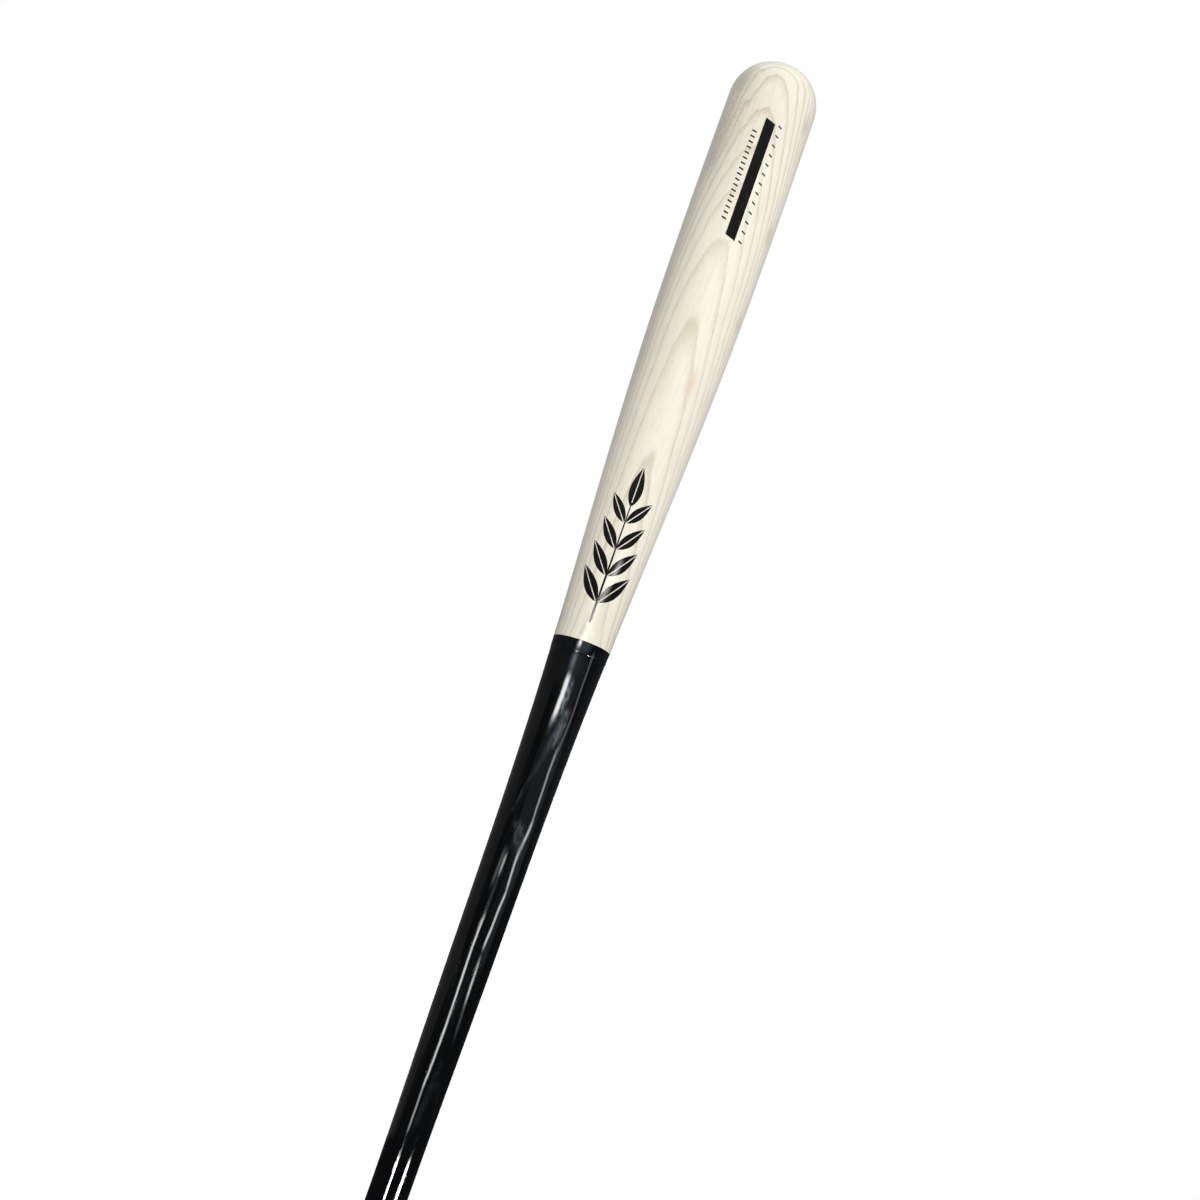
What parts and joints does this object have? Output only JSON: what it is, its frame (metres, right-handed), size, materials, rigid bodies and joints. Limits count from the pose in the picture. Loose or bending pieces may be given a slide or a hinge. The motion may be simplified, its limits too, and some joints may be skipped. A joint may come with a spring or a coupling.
{
  "type": "baseball bat",
  "caption": "Wooden baseball bat: turned ash billet with flat-ended knob, slim handle under black gloss lacquer, tapered barrel under clear lacquer, rounded end.",
  "frame": {"origin": "centre of the knob's flat end face, on which the bat stands", "axes": "+Z along the bat's axis, from the knob to the barrel's end; the bat is round, so X and Y are free, and +X lies to the right of the camera's view"},
  "size_m": [0.0636, 0.0636, 0.8636],
  "materials": {
    "ash": "pale ash with long flat-sawn grain, sanded smooth",
    "black_lacquer": "deep gloss black lacquer, the grain faintly telegraphing through",
    "clear_lacquer": "clear gloss lacquer over the bare ash"
  },
  "bodies": {
    "root": {"ash_billet": "ash", "handle_black_lacquer": "black_lacquer", "barrel_clear_lacquer": "clear_lacquer"}
  },
  "joints": []
}
